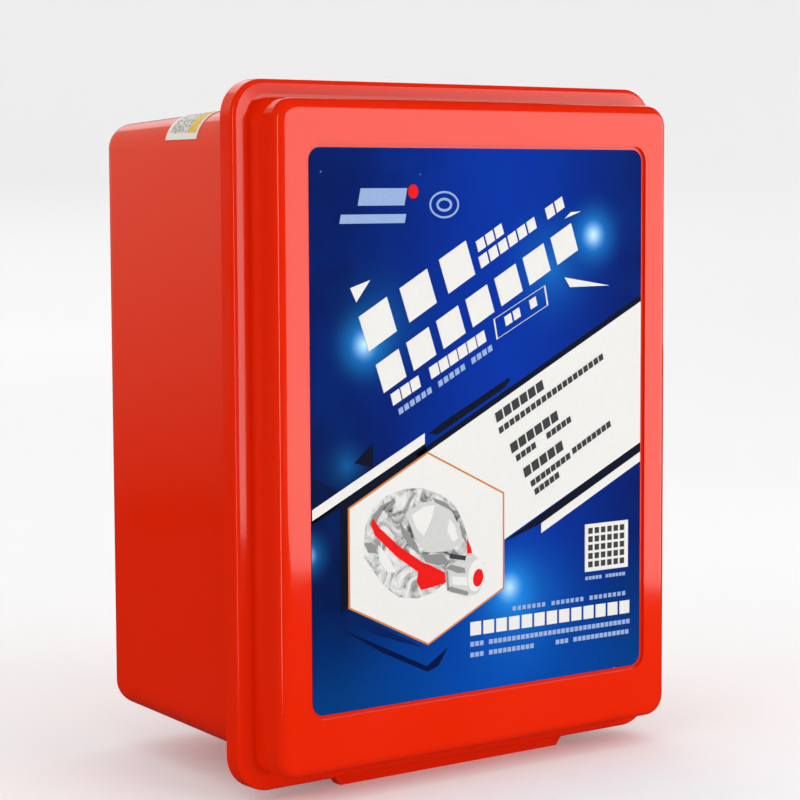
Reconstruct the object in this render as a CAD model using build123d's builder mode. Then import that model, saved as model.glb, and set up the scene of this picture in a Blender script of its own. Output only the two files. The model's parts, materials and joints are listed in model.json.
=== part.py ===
"""Filtering escape hood packed in its red wall box.

Frame: X across the box, Y front to back (the lid faces -Y), Z up. The origin is the centre of
the bounding box's bottom. Millimetres.
"""
from build123d import *
from math import cos, radians, sin, sqrt
import os

# ---- driving dimensions -------------------------------------------------------------------
RIM_WIDTH, RIM_HEIGHT = 148.0, 190.0      # outside of the lid's rim
BOX_DEPTH = 98.0                          # lid face to case back
TAB_WIDTH, TAB_DROP, TAB_THICK = 78.0, 2.8, 3.5
RIM_LAND = 4.8                            # nearly flat band around the raised panel
PANEL_RISE = 12.5                         # how far the raised panel stands in front of the rim
RIM_DEPTH = 6.5                           # front-to-back size of the rim's skirt
PANEL_TAPER = 2.7                         # degrees of draft on the raised panel's side walls
CASE_STEP = 6.2                           # case wall sits this far inside the rim's outside
CASE_TAPER = 2.58                         # degrees of draft on the case's walls
WALL = 2.0
FIT = 0.3                                 # clearance between parts that come apart
RIM_RADIUS, PANEL_RADIUS, CASE_RADIUS = 10.0, 6.5, 11.0
LABEL_WIDTH, LABEL_HEIGHT, LABEL_RADIUS = 117.0, 150.5, 3.5
LABEL_LIFT = 1.7                          # label centre above the panel centre
RECESS_DEPTH, RECESS_MARGIN = 0.8, 1.1
SCREW_SPACING, SCREW_RADIUS, SCREW_HEIGHT = 60.0, 2.5, 150.0

CANISTER_RADIUS, CANISTER_HEIGHT = 38.5, 73.0   # height is that of its axis above the origin
BED_RADIUS = CANISTER_RADIUS - 1.2        # what lies inside the canister
PORT_RADIUS = 13.0                        # inlet hole
OUTLET_RADIUS = 15.5                      # outlet hole
EXHALE_HEIGHT = 24.5                      # axis of the exhalation valve
STRAP_WIDTH, STRAP_THICK, STRAP_X = 12.0, 1.2, 53.5
VISOR_HALF, VISOR_LOW, VISOR_HIGH = 41.0, 124.0, 176.0

# ---- derived places -----------------------------------------------------------------------
FRONT = -BOX_DEPTH / 2
BACK = BOX_DEPTH / 2
RIM_FRONT = FRONT + PANEL_RISE
RIM_REAR = RIM_FRONT + RIM_DEPTH
CENTRE_Z = TAB_DROP + RIM_HEIGHT / 2
MOUTH = RIM_FRONT + WALL + FIT
CASE_WIDTH = RIM_WIDTH - 2 * CASE_STEP
CASE_HEIGHT = RIM_HEIGHT - 2 * CASE_STEP
PANEL_WIDTH = RIM_WIDTH - 2 * RIM_LAND
PANEL_HEIGHT = RIM_HEIGHT - 2 * RIM_LAND
LID_INSIDE = FRONT + WALL
LABEL_Z = CENTRE_Z + LABEL_LIFT

# stations along Y of the canister and of the mask behind it
INLET_NECK = -35.4
CAN_FRONT = -31.5
SHEET = 1.0                               # canister end thickness
CAN_REAR = 5.0
FRAME_FRONT = CAN_REAR + 0.4
FRAME_THICK = 3.0
COLLAR_REAR = 20.0
MASK_FRONT = FRAME_FRONT + FRAME_THICK + FIT
MASK_REAR = 44.0
MASK_WALL = 2.0
HOOD_FRONT = -27.0

os.makedirs("parts", exist_ok=True)


def front_plane(y, z=0.0):
    """Plane facing the front (-Y) at depth y, with its own up along Z."""
    return Plane(origin=(0, y, z), x_dir=(1, 0, 0), z_dir=(0, -1, 0))


def back_plane(y, z=0.0):
    """Plane facing the back (+Y) at depth y, with its own up along Z."""
    return Plane(origin=(0, y, z), x_dir=(-1, 0, 0), z_dir=(0, 1, 0))


def save(part, name):
    part.label = name
    export_step(part, f"parts/{name}.step")


def disc(name, y_front, y_rear, radius, hole=0.0, z=CANISTER_HEIGHT):
    """Write a plain disc or ring on a front-to-back axis through (0, z)."""
    with BuildPart() as piece:
        with BuildSketch(back_plane(y_front, z)):
            Circle(radius)
            if hole:
                Circle(hole, mode=Mode.SUBTRACT)
        extrude(amount=y_rear - y_front)
    save(piece.part, name)


# ---- the box ------------------------------------------------------------------------------
def make_rear_case():
    """Deep tray with a flanged mouth, which the lid's rim presses over."""
    flange_gap, flange_thick, back_rounding, floor_rounding = WALL + FIT, 3.8, 6.0, 4.0
    with BuildPart() as case:
        with BuildSketch(back_plane(MOUTH, CENTRE_Z)):
            RectangleRounded(CASE_WIDTH, CASE_HEIGHT, CASE_RADIUS)
        extrude(amount=BACK - MOUTH, taper=CASE_TAPER)
        fillet(case.faces().sort_by(Axis.Y)[-1].edges(), radius=back_rounding)
        with BuildSketch(back_plane(MOUTH, CENTRE_Z)):
            RectangleRounded(CASE_WIDTH - 2 * WALL, CASE_HEIGHT - 2 * WALL, CASE_RADIUS - WALL)
        extrude(amount=BACK - WALL - MOUTH, taper=CASE_TAPER, mode=Mode.SUBTRACT)
        floor = case.faces().filter_by(Axis.Y).sort_by(Axis.Y)[-2]
        fillet(floor.outer_wire().edges(), radius=floor_rounding)
        with BuildSketch(back_plane(MOUTH, CENTRE_Z)):
            RectangleRounded(
                RIM_WIDTH - 2 * flange_gap, RIM_HEIGHT - 2 * flange_gap, RIM_RADIUS - flange_gap)
            RectangleRounded(
                CASE_WIDTH - WALL, CASE_HEIGHT - WALL, CASE_RADIUS - WALL / 2, mode=Mode.SUBTRACT)
        extrude(amount=flange_thick)
        with BuildSketch(back_plane(BACK - 2 * WALL, SCREW_HEIGHT)):
            with GridLocations(SCREW_SPACING, 0, 2, 1):
                Circle(SCREW_RADIUS)
        extrude(amount=3 * WALL, mode=Mode.SUBTRACT)
    save(case.part, "rear_case")


def make_front_lid():
    """Press-on lid: a rim that wraps the case's flange, and a raised panel with a label recess."""
    rim_rounding, panel_rounding, tab_flare = 1.4, 3.2, 3.0
    land_reach, land_fall = 4.0, 0.7
    with BuildPart() as lid:
        with BuildSketch(front_plane(RIM_REAR, CENTRE_Z)):
            RectangleRounded(RIM_WIDTH, RIM_HEIGHT, RIM_RADIUS)
        extrude(amount=RIM_DEPTH)
        land = lid.faces().sort_by(Axis.Y)[0]
        chamfer(land.outer_wire().edges(), length=land_reach, length2=land_fall, reference=land)
        shoulder = RIM_FRONT + land_fall
        fillet(
            lid.edges().filter_by_position(Axis.Y, shoulder - 0.01, shoulder + 0.01),
            radius=rim_rounding)
        with BuildSketch(front_plane(RIM_FRONT, CENTRE_Z)):
            RectangleRounded(PANEL_WIDTH, PANEL_HEIGHT, PANEL_RADIUS)
        extrude(amount=PANEL_RISE, taper=PANEL_TAPER)
        fillet(lid.faces().sort_by(Axis.Y)[0].outer_wire().edges(), radius=panel_rounding)
        with BuildSketch(front_plane(RIM_REAR, CENTRE_Z)):
            RectangleRounded(RIM_WIDTH - 2 * WALL, RIM_HEIGHT - 2 * WALL, RIM_RADIUS - WALL)
        extrude(amount=RIM_DEPTH - WALL, mode=Mode.SUBTRACT)
        with BuildSketch(front_plane(RIM_FRONT + WALL, CENTRE_Z)):
            RectangleRounded(PANEL_WIDTH - 2 * WALL, PANEL_HEIGHT - 2 * WALL, PANEL_RADIUS - WALL)
        extrude(amount=RIM_FRONT + WALL - LID_INSIDE, taper=PANEL_TAPER, mode=Mode.SUBTRACT)
        with BuildSketch(front_plane(FRONT, LABEL_Z)):
            RectangleRounded(
                LABEL_WIDTH + 2 * RECESS_MARGIN, LABEL_HEIGHT + 2 * RECESS_MARGIN,
                LABEL_RADIUS + RECESS_MARGIN)
        extrude(amount=-RECESS_DEPTH, mode=Mode.SUBTRACT)
        with BuildSketch(front_plane(RIM_REAR, 0)):
            with BuildLine():
                top = TAB_DROP + 1.0
                Polyline(
                    (-TAB_WIDTH / 2, 0), (TAB_WIDTH / 2, 0), (TAB_WIDTH / 2 + tab_flare, top),
                    (-TAB_WIDTH / 2 - tab_flare, top), close=True)
            make_face()
        extrude(amount=TAB_THICK)
    save(lid.part, "front_lid")


def make_front_label():
    film = 0.2
    with BuildPart() as label:
        with BuildSketch(front_plane(FRONT + RECESS_DEPTH, LABEL_Z)):
            RectangleRounded(LABEL_WIDTH, LABEL_HEIGHT, LABEL_RADIUS)
        extrude(amount=film)
    save(label.part, "front_label")


def make_instruction_leaflet():
    width, height, thickness, raised = 90.0, 128.0, 0.3, 4.0
    with BuildPart() as leaflet:
        with BuildSketch(front_plane(LID_INSIDE + thickness, CENTRE_Z + raised)):
            RectangleRounded(width, height, 1.5)
        extrude(amount=thickness)
    save(leaflet.part, "instruction_leaflet")


def make_seal_sticker():
    """Thin seal that wraps the case's upper left rounding, just behind the rim."""
    low, high, front, rear = CENTRE_Z + 79.8, CENTRE_Z + CASE_HEIGHT / 2 + 2, -6.3, 11.0
    thickness, reach = 0.2, 14.0
    with BuildPart() as sticker:
        with BuildSketch(back_plane(MOUTH, CENTRE_Z)):
            RectangleRounded(
                CASE_WIDTH + 2 * thickness, CASE_HEIGHT + 2 * thickness, CASE_RADIUS + thickness)
        extrude(amount=BACK - MOUTH, taper=CASE_TAPER)
        with BuildSketch(back_plane(MOUTH, CENTRE_Z)):
            RectangleRounded(CASE_WIDTH, CASE_HEIGHT, CASE_RADIUS)
        extrude(amount=BACK - MOUTH, taper=CASE_TAPER, mode=Mode.SUBTRACT)
        with BuildSketch(back_plane(front)):
            with Locations(((CASE_WIDTH - reach) / 2 + 1, (low + high) / 2)):
                Rectangle(reach + 2, high - low)
        extrude(amount=rear - front, mode=Mode.INTERSECT)
    save(sticker.part, "seal_sticker")


# ---- the filter canister ------------------------------------------------------------------
def make_canister_body():
    """Rolled tin tube between the two end covers."""
    disc("canister_body", CAN_FRONT + SHEET, CAN_REAR - SHEET, CANISTER_RADIUS,
         hole=CANISTER_RADIUS - 0.8)


def make_canister_cover(name, end, neck, bore, inward):
    """End cover with a rolled seam and a neck; inward is +1 on the front cover, -1 on the rear."""
    seam_proud, seam_width = 0.8, 3.0
    plane = back_plane if inward > 0 else front_plane
    with BuildPart() as cover:
        with BuildSketch(plane(end, CANISTER_HEIGHT)):
            Circle(CANISTER_RADIUS + seam_proud)
        extrude(amount=SHEET)
        with BuildSketch(plane(end, CANISTER_HEIGHT)):
            Circle(CANISTER_RADIUS + seam_proud)
            Circle(CANISTER_RADIUS, mode=Mode.SUBTRACT)
        extrude(amount=seam_width)
        fillet(cover.edges().filter_by(GeomType.CIRCLE).sort_by(SortBy.RADIUS)[-2:], radius=0.35)
        with BuildSketch(plane(end + inward * 0.1, CANISTER_HEIGHT)):
            Circle(bore + 2.0)
        extrude(amount=-abs(end - neck) - 0.1)
        with BuildSketch(plane(neck, CANISTER_HEIGHT)):
            Circle(bore)
        extrude(amount=abs(end - neck) + 2 * SHEET, mode=Mode.SUBTRACT)
    save(cover.part, name)


def make_screen(name, y_front):
    """Perforated steel disc that holds a bed in place."""
    with BuildPart() as screen:
        with BuildSketch(back_plane(y_front, CANISTER_HEIGHT)):
            Circle(BED_RADIUS)
            for ring in range(1, 5):
                with PolarLocations(ring * 8.0, 6 * ring):
                    Circle(1.8, mode=Mode.SUBTRACT)
        extrude(amount=0.6)
    save(screen.part, name)


def make_particulate_filter():
    """Pleated fibre pack, its folds running up and down."""
    y_front, depth, paper, fold = -28.6, 8.4, 0.9, 6.0
    count = int(2 * CANISTER_RADIUS / fold)
    start = -count * fold / 2
    zigzag = [(start + i * fold, y_front + 0.5 + (depth - 1.0) * (i % 2)) for i in range(count + 1)]
    with BuildPart() as pleats:
        with BuildSketch(Plane.XY.offset(CANISTER_HEIGHT - CANISTER_RADIUS)):
            with BuildLine():
                Polyline(zigzag)
            trace(line_width=paper)
        extrude(amount=2 * CANISTER_RADIUS)
        with BuildSketch(back_plane(y_front - 1, CANISTER_HEIGHT)):
            Circle(BED_RADIUS)
        extrude(amount=depth + 2, mode=Mode.INTERSECT)
    save(pleats.part, "particulate_filter")


def make_plug(name, face, outward, bore, stem, flange):
    """Rubber plug; face is the neck's end and outward the way it is pulled (+1 back, -1 front)."""
    plane = back_plane if outward > 0 else front_plane
    with BuildPart() as plug:
        with BuildSketch(plane(face - outward * stem, CANISTER_HEIGHT)):
            Circle(bore - FIT)
        extrude(amount=stem + 0.5)
        with BuildSketch(plane(face + outward * 0.1, CANISTER_HEIGHT)):
            Circle(flange)
        extrude(amount=1.9)
        top = plug.faces().filter_by(Axis.Y).sort_by(Axis.Y)[-1 if outward > 0 else 0]
        fillet(top.edges(), radius=0.8)
        with BuildSketch(plane(face + outward * 1.8, CANISTER_HEIGHT)):
            SlotOverall(2 * flange - 8, 6.0, rotation=90)
        extrude(amount=2.2)
        fillet(plug.faces().sort_by(Axis.Y)[-1 if outward > 0 else 0].edges(), radius=0.9)
    save(plug.part, name)


# ---- the mask -----------------------------------------------------------------------------
def make_mask_frame():
    """Hard frame: the collar the canister screws into, the exhalation port and two strap arms."""
    lug_z, lug_low, lug_high = 113.0, 106.0, 116.5
    with BuildPart() as frame:
        with BuildSketch(back_plane(FRAME_FRONT)):
            with Locations((0, CANISTER_HEIGHT)):
                Circle(OUTLET_RADIUS + 8)
            with Locations((0, EXHALE_HEIGHT)):
                Circle(10.5)
            with Locations((0, (CANISTER_HEIGHT + EXHALE_HEIGHT) / 2)):
                Rectangle(15, CANISTER_HEIGHT - EXHALE_HEIGHT)
            for side in (-1, 1):
                with BuildLine():
                    Polyline(
                        (side * 12, CANISTER_HEIGHT + 8), (side * 20, CANISTER_HEIGHT + 3),
                        (side * 60.6, lug_low + 1), (side * 60.6, lug_high),
                        (side * 46.4, lug_high), close=True)
                make_face()
        extrude(amount=FRAME_THICK)
        with BuildSketch(back_plane(FRAME_FRONT, CANISTER_HEIGHT)):
            Circle(OUTLET_RADIUS + 5)
        extrude(amount=COLLAR_REAR - FRAME_FRONT)
        with BuildSketch(back_plane(FRAME_FRONT, CANISTER_HEIGHT)):
            Circle(OUTLET_RADIUS + 2.0 + 0.1)
        extrude(amount=6.0, mode=Mode.SUBTRACT)
        with BuildSketch(back_plane(FRAME_FRONT + 6.0, CANISTER_HEIGHT)):
            Circle(OUTLET_RADIUS - 2)
        extrude(amount=10.0, mode=Mode.SUBTRACT)
        with BuildSketch(back_plane(FRAME_FRONT + 7.4, CANISTER_HEIGHT)):
            Circle(OUTLET_RADIUS)
        extrude(amount=COLLAR_REAR, mode=Mode.SUBTRACT)
        with BuildSketch(back_plane(FRAME_FRONT - 1)):
            with Locations((0, EXHALE_HEIGHT)):
                Circle(7.6)
            with Locations((-STRAP_X, lug_z), (STRAP_X, lug_z)):
                Rectangle(STRAP_WIDTH + 0.6, STRAP_THICK + 0.6)
        extrude(amount=FRAME_THICK + 2, mode=Mode.SUBTRACT)
    save(frame.part, "mask_frame")


def make_valve_seat(name, y_front, thickness, radius, z):
    """Spider of three arms and a rim, which the valve's disc closes."""
    with BuildPart() as seat:
        with BuildSketch(back_plane(y_front, z)):
            Circle(radius)
            Circle(radius - 3.0, mode=Mode.SUBTRACT)
            Circle(2.2)
            with PolarLocations(0, 3, start_angle=90):
                with Locations((radius / 2, 0)):
                    Rectangle(radius - 1.0, 1.6)
        extrude(amount=thickness)
    save(seat.part, name)


def make_exhalation_cover():
    """Cap over the exhalation valve, with slots around its side."""
    front, rear = FRAME_FRONT - 7.0, FRAME_FRONT - 0.1
    with BuildPart() as cap:
        with BuildSketch(back_plane(front, EXHALE_HEIGHT)):
            Circle(9.2)
        extrude(amount=rear - front)
        fillet(cap.faces().sort_by(Axis.Y)[0].edges(), radius=1.2)
        with BuildSketch(back_plane(front + 1.4, EXHALE_HEIGHT)):
            Circle(7.8)
        extrude(amount=rear - front, mode=Mode.SUBTRACT)
        for angle in range(0, 180, 45):
            slot = Plane(
                origin=(0, front + 4.2, EXHALE_HEIGHT), x_dir=(0, 1, 0),
                z_dir=(cos(radians(angle)), 0, sin(radians(angle))))
            with BuildSketch(slot):
                Rectangle(2.4, 3.0)
            extrude(amount=12.0, both=True, mode=Mode.SUBTRACT)
    save(cap.part, "exhalation_valve_cover")


def make_half_mask():
    """Silicone cup over nose and mouth, open to the back, with a soft rolled sealing edge."""
    with BuildPart() as mask:
        with BuildSketch(back_plane(MASK_FRONT, 59.0)):
            RectangleRounded(58, 84, 20)
        with BuildSketch(back_plane(MASK_REAR, 67.0)):
            RectangleRounded(92, 100, 30)
        loft()
        with BuildSketch(back_plane(MASK_FRONT + MASK_WALL, 59.4)):
            RectangleRounded(54.6, 80.6, 18.3)
        with BuildSketch(back_plane(MASK_REAR + 0.1, 67.0)):
            RectangleRounded(87.4, 95.4, 27.7)
        loft(mode=Mode.SUBTRACT)
        with BuildSketch(back_plane(MASK_FRONT - 1)):
            with Locations((0, CANISTER_HEIGHT)):
                Circle(OUTLET_RADIUS + 5 + 0.1)
            with Locations((0, EXHALE_HEIGHT)):
                Circle(7.6)
        extrude(amount=MASK_WALL + 2, mode=Mode.SUBTRACT)
    save(mask.part, "half_mask")


# ---- the hood -----------------------------------------------------------------------------
def visor_arc_radius():
    """Radius of the visor's outer face, from its half width and its bulge."""
    half, bulge = VISOR_HALF + 4.0, 8.0
    return (half ** 2 + bulge ** 2) / (2 * bulge)


def visor_band(outer, inner, half_width, low, high, mode=Mode.ADD):
    """Upright band between two arcs about the visor's axis, as wide as 2 * half_width."""
    with BuildSketch(Plane.XY.offset(low)) as band:
        with BuildLine():
            centre = HOOD_FRONT - 9.8 + visor_arc_radius()
            rise_out = centre - sqrt(outer ** 2 - half_width ** 2)
            rise_in = centre - sqrt(inner ** 2 - half_width ** 2)
            ThreePointArc((-half_width, rise_out), (0, centre - outer), (half_width, rise_out))
            Line((half_width, rise_out), (half_width, rise_in))
            ThreePointArc((half_width, rise_in), (0, centre - inner), (-half_width, rise_in))
            Line((-half_width, rise_in), (-half_width, rise_out))
        make_face()
    extrude(band.sketch, amount=high - low, mode=mode)


def make_visor():
    radius = visor_arc_radius()
    with BuildPart() as visor:
        visor_band(radius, radius - 0.8, VISOR_HALF, VISOR_LOW, VISOR_HIGH)
    save(visor.part, "visor")


def make_visor_binding():
    """Sewn edge tape around the visor."""
    radius, tape = visor_arc_radius(), 4.0
    with BuildPart() as binding:
        visor_band(
            radius + 0.4, radius - 1.2, VISOR_HALF + tape, VISOR_LOW - tape, VISOR_HIGH + tape)
        visor_band(
            radius + 2.0, radius - 3.0, VISOR_HALF, VISOR_LOW, VISOR_HIGH, mode=Mode.SUBTRACT)
    save(binding.part, "visor_binding")


def make_hood_body():
    """Folded hood: a block above the canister, and a fold down each side of the mask."""
    radius = visor_arc_radius()
    block_low, block_high, lobe_low = 118.0, 180.5, 19.0
    with BuildPart() as hood:
        with BuildSketch(Plane.XY.offset(block_low)):
            with Locations((0, (HOOD_FRONT + 16.0) / 2)):
                RectangleRounded(124.0, 16.0 - HOOD_FRONT, 8.0)
        extrude(amount=block_high - block_low)
        fillet(hood.faces().sort_by(Axis.Z)[-1].edges(), radius=6.0)
        visor_band(radius - 1.5, radius - 14.0, VISOR_HALF, VISOR_LOW - 2, VISOR_HIGH - 2)
        for side in (-1, 1):
            with BuildSketch(Plane.XY.offset(lobe_low)):
                with Locations((side * 54.5, 28.0)):
                    RectangleRounded(12.0, 30.0, 5.0)
            extrude(amount=block_low - lobe_low + 4.0)
    save(hood.part, "hood_body")


def make_neck_collar():
    """Gathered elastic neck seal, folded flat behind the hood."""
    with BuildPart() as collar:
        with BuildSketch(Plane.XY.offset(124.0)):
            with Locations((0, 31.0)):
                RectangleRounded(114.0, 26.0, 8.0)
        extrude(amount=54.0)
        fillet(collar.faces().filter_by(Axis.Z).edges(), radius=5.0)
    save(collar.part, "neck_collar")


def make_head_strap(name, side):
    """Webbing: up the front of the hood, and back under it to the mask frame's arm."""
    low, high, face = 112.4, 178.0, -31.4
    bend = 3.0
    end_thick = 2.4
    with BuildPart() as strap:
        with BuildSketch(Plane.YZ.offset(side * STRAP_X - STRAP_WIDTH / 2)):
            with BuildLine():
                Line((face, high), (face, low + bend))
                RadiusArc((face, low + bend), (face + bend, low), -bend)
                Line((face + bend, low), (11.0, low))
                Line((11.0, low), (11.0, low + STRAP_THICK))
                Line((11.0, low + STRAP_THICK), (face + bend, low + STRAP_THICK))
                inner = bend - STRAP_THICK
                RadiusArc((face + bend, low + STRAP_THICK), (face + STRAP_THICK, low + bend), inner)
                Line((face + STRAP_THICK, low + bend), (face + STRAP_THICK, high))
                Line((face + STRAP_THICK, high), (face, high))
            make_face()
            with Locations((10.2, low + STRAP_THICK / 2)):
                Rectangle(2.4, end_thick)
        extrude(amount=STRAP_WIDTH)
    save(strap.part, name)


def make_strap_buckle(name, side):
    """Sleeve adjuster that grips the strap's upright run."""
    low, high = 138.0, 150.0
    front, rear = -33.8, -28.0
    strap_mid = -31.4 + STRAP_THICK / 2
    with BuildPart() as buckle:
        with BuildSketch(Plane.XY.offset(low)):
            with Locations((side * STRAP_X, (front + rear) / 2)):
                RectangleRounded(STRAP_WIDTH + 3.0, rear - front, 1.2)
            with Locations((side * STRAP_X, strap_mid)):
                Rectangle(STRAP_WIDTH + 0.6, STRAP_THICK + 0.6, mode=Mode.SUBTRACT)
        extrude(amount=high - low)
        with BuildSketch(front_plane(front, (low + high) / 2)):
            with Locations((side * STRAP_X, 3.2), (side * STRAP_X, -3.2)):
                Rectangle(STRAP_WIDTH - 1.0, 2.6)
        extrude(amount=-1.4, mode=Mode.SUBTRACT)
    save(buckle.part, name)


# ---- everything ---------------------------------------------------------------------------
make_rear_case()
make_front_lid()
make_front_label()
make_instruction_leaflet()
make_seal_sticker()

make_canister_body()
make_canister_cover("canister_front_cover", CAN_FRONT, INLET_NECK, PORT_RADIUS, 1)
make_canister_cover("canister_rear_cover", CAN_REAR, CAN_REAR + 5.6, OUTLET_RADIUS, -1)
make_screen("front_screen", -29.6)
make_particulate_filter()
disc("carbon_bed", -19.4, -9.6, BED_RADIUS)
make_screen("middle_screen", -9.4)
disc("catalyst_bed", -8.6, -0.6, BED_RADIUS)
make_screen("rear_screen", -0.4)
disc("retaining_ring", 0.4, 2.0, BED_RADIUS, hole=BED_RADIUS - 2.4)
disc("outlet_gasket", CAN_REAR + 5.7, CAN_REAR + 6.3, OUTLET_RADIUS + 1.9, hole=OUTLET_RADIUS - 1.9)
make_plug("inlet_plug", INLET_NECK, -1, PORT_RADIUS, 4.4, PORT_RADIUS + 3.5)
make_plug("outlet_plug", COLLAR_REAR, 1, OUTLET_RADIUS, 3.6, OUTLET_RADIUS + 5)

make_mask_frame()
make_half_mask()
make_valve_seat("inhalation_valve_seat", FRAME_FRONT + 7.5, 1.4, OUTLET_RADIUS - 0.05, CANISTER_HEIGHT)
disc("inhalation_valve_disc", FRAME_FRONT + 9.0, FRAME_FRONT + 9.6, OUTLET_RADIUS - 1.5)
make_valve_seat("exhalation_valve_seat", FRAME_FRONT + 0.2, 2.6, 7.5, EXHALE_HEIGHT)
disc("exhalation_valve_disc", FRAME_FRONT - 0.6, FRAME_FRONT, 6.6, z=EXHALE_HEIGHT)
make_exhalation_cover()

make_hood_body()
make_visor()
make_visor_binding()
make_neck_collar()
for side, word in ((-1, "left"), (1, "right")):
    make_head_strap(f"{word}_head_strap", side)
    make_strap_buckle(f"{word}_strap_buckle", side)
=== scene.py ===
"""Looks for the boxed escape hood: red wall box, printed label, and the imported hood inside.

Metres, in the CAD's own frame. The lid faces -Y, Z is up.
"""

import json
import math

import bmesh
import bpy
import numpy as np
from mathutils import Matrix, Vector
from mathutils import noise as mnoise


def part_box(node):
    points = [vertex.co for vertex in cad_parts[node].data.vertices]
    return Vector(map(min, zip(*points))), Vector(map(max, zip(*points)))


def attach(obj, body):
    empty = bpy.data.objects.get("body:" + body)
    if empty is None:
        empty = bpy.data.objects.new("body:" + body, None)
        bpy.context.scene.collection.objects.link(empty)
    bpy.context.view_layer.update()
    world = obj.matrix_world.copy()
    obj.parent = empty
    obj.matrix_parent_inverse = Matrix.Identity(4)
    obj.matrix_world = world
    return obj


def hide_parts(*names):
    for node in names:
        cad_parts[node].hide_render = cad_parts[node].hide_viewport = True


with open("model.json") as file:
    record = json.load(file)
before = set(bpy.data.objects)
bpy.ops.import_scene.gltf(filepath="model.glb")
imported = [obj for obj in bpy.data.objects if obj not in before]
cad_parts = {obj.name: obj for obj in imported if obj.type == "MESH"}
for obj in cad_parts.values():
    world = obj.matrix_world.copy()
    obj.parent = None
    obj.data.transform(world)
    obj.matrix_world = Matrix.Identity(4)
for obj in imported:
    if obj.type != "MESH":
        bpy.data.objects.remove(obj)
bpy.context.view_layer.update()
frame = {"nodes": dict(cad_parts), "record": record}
NODES = frame["nodes"]
NODE_SLOT = {p["node"]: p["material_slot"] for p in frame["record"]["subparts"]}
MM = 0.001

# places taken from the CAD, in millimetres
CANISTER_AXIS = 73.0            # height of the canister's axis
BED_RADIUS = 37.2
STRAP_X, STRAP_FACE = 53.5, -31.4
LOBE_TOP = 117.0                # the hood's side folds end here and its block begins
VISOR_EDGE, VISOR_BULGE, VISOR_FRONT = 45.0, 8.0, -36.8


# ---- camera and studio ----
def make_camera():
    data = bpy.data.cameras.new("camera")
    data.lens = 107.5
    data.sensor_width = 36.0
    data.clip_start = 0.02
    data.clip_end = 50.0
    cam = link("camera", data)
    turn = (
        Matrix.Rotation(math.radians(-36.90), 4, "Z")
        @ Matrix.Rotation(math.radians(-4.96), 4, "X")
        @ Matrix.Rotation(math.radians(0.25), 4, "Y")
        @ Matrix.Rotation(math.radians(90), 4, "X")
    )
    cam.matrix_world = Matrix.Translation((-0.4144, -0.5614, 0.1628)) @ turn
    bpy.context.scene.camera = cam


def link(name, data):
    obj = bpy.data.objects.new(name, data)
    bpy.context.scene.collection.objects.link(obj)
    return obj


def mesh_object(name, verts, faces, material=None, smooth=True):
    mesh = bpy.data.meshes.new(name)
    mesh.from_pydata([tuple(v) for v in verts], [], faces)
    mesh.update()
    if smooth:
        mesh.shade_smooth()
    obj = link(name, mesh)
    if material:
        mesh.materials.append(material)
    return obj


def joined(a, b, count):
    """Quads between two closed rings of count points that start at a and b."""
    return [(a + k, b + k, b + (k + 1) % count, a + (k + 1) % count) for k in range(count)]


def circle(steps):
    """Angle, cosine and sine at even steps round a circle."""
    for k in range(steps):
        a = 2 * math.pi * k / steps
        yield a, math.cos(a), math.sin(a)


def unit(value):
    """The value held between 0 and 1."""
    return min(1.0, max(0.0, value))


def area_light(name, place, size, power, colour=(1, 1, 1), target=(0, 0, 0.095)):
    data = bpy.data.lights.new(name, "AREA")
    data.shape = "RECTANGLE"
    data.size, data.size_y = size
    data.energy = power
    data.color = colour
    lamp = link(name, data)
    lamp.location = place
    aim = Vector(target) - Vector(place)
    lamp.rotation_euler = aim.to_track_quat("-Z", "Y").to_euler()
    lamp.visible_camera = False
    lamp.visible_glossy = False


def glow_material(name, strength, colour=(1, 1, 1), fade=None):
    mat = bpy.data.materials.new(name)
    mat.use_nodes = True
    tree = mat.node_tree
    tree.nodes.clear()
    out = tree.nodes.new("ShaderNodeOutputMaterial")
    glow = tree.nodes.new("ShaderNodeEmission")
    glow.inputs["Color"].default_value = (*colour, 1)
    glow.inputs["Strength"].default_value = strength
    tree.links.new(glow.outputs[0], out.inputs[0])
    if fade:
        split = tree.nodes.new("ShaderNodeSeparateXYZ")
        coords = tree.nodes.new("ShaderNodeTexCoord")
        height = tree.nodes.new("ShaderNodeMapRange")
        tree.links.new(coords.outputs["Object"], split.inputs[0])
        tree.links.new(split.outputs["Z"], height.inputs["Value"])
        height.inputs["From Min"].default_value = fade[0]
        height.inputs["From Max"].default_value = fade[1]
        height.inputs["To Max"].default_value = strength
        tree.links.new(height.outputs["Result"], glow.inputs["Strength"])
    return mat


def card(name, centre, across, size, strength, tilt=0.0, colour=(1, 1, 1), fade=None):
    """Panel that only shows in reflections. across is its level direction, tilt in degrees."""
    level = Vector((across[0], across[1], 0)).normalized()
    up = Vector((0, 0, 1))
    turned = level * math.cos(math.radians(tilt)) + up * math.sin(math.radians(tilt))
    rise = up * math.cos(math.radians(tilt)) - level * math.sin(math.radians(tilt))
    w, h = size[0] / 2, size[1] / 2
    c = Vector(centre)
    corners = [c + turned * a + rise * b for a, b in ((-w, -h), (w, -h), (w, h), (-w, h))]
    glow = glow_material(name, strength, colour, fade)
    obj = mesh_object(name, corners, [(0, 1, 2, 3)], glow, False)
    for ray in ("camera", "diffuse", "shadow", "transmission"):
        setattr(obj, "visible_" + ray, False)


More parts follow.
